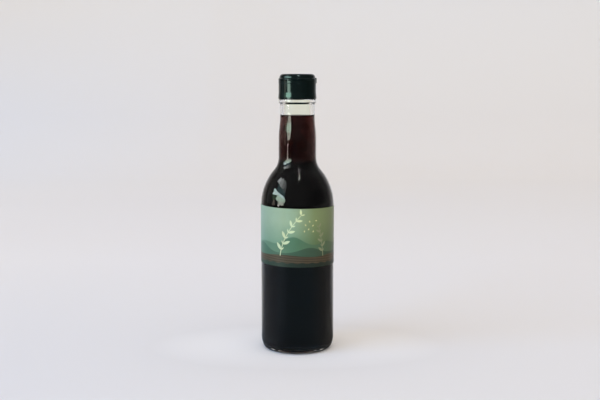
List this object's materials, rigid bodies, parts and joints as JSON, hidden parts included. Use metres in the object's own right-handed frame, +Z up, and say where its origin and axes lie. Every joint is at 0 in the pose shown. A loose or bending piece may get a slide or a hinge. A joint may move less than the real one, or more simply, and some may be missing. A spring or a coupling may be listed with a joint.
{
  "type": "sesame oil bottle",
  "caption": "Clear glass bottle of dark sesame oil with a dark-green flip-top cap and a wrap-round green paper label.",
  "frame": {"origin": "centre of the base, on the surface that the foot ring stands on", "axes": "+Z up along the bottle's axis; the front of the label faces -Y; the cap's thumb tab points to +X and its hinge to -X"},
  "size_m": [0.0588, 0.0586, 0.2206],
  "materials": {
    "clear_glass": "polished",
    "sesame_oil": "gloss",
    "label_paper": "satin",
    "green_plastic": "gloss"
  },
  "bodies": {
    "root": {"glass_bottle": "clear_glass", "sesame_oil": "sesame_oil", "label": "label_paper", "cap_base": "green_plastic", "cap_lid": "green_plastic"}
  },
  "joints": []
}
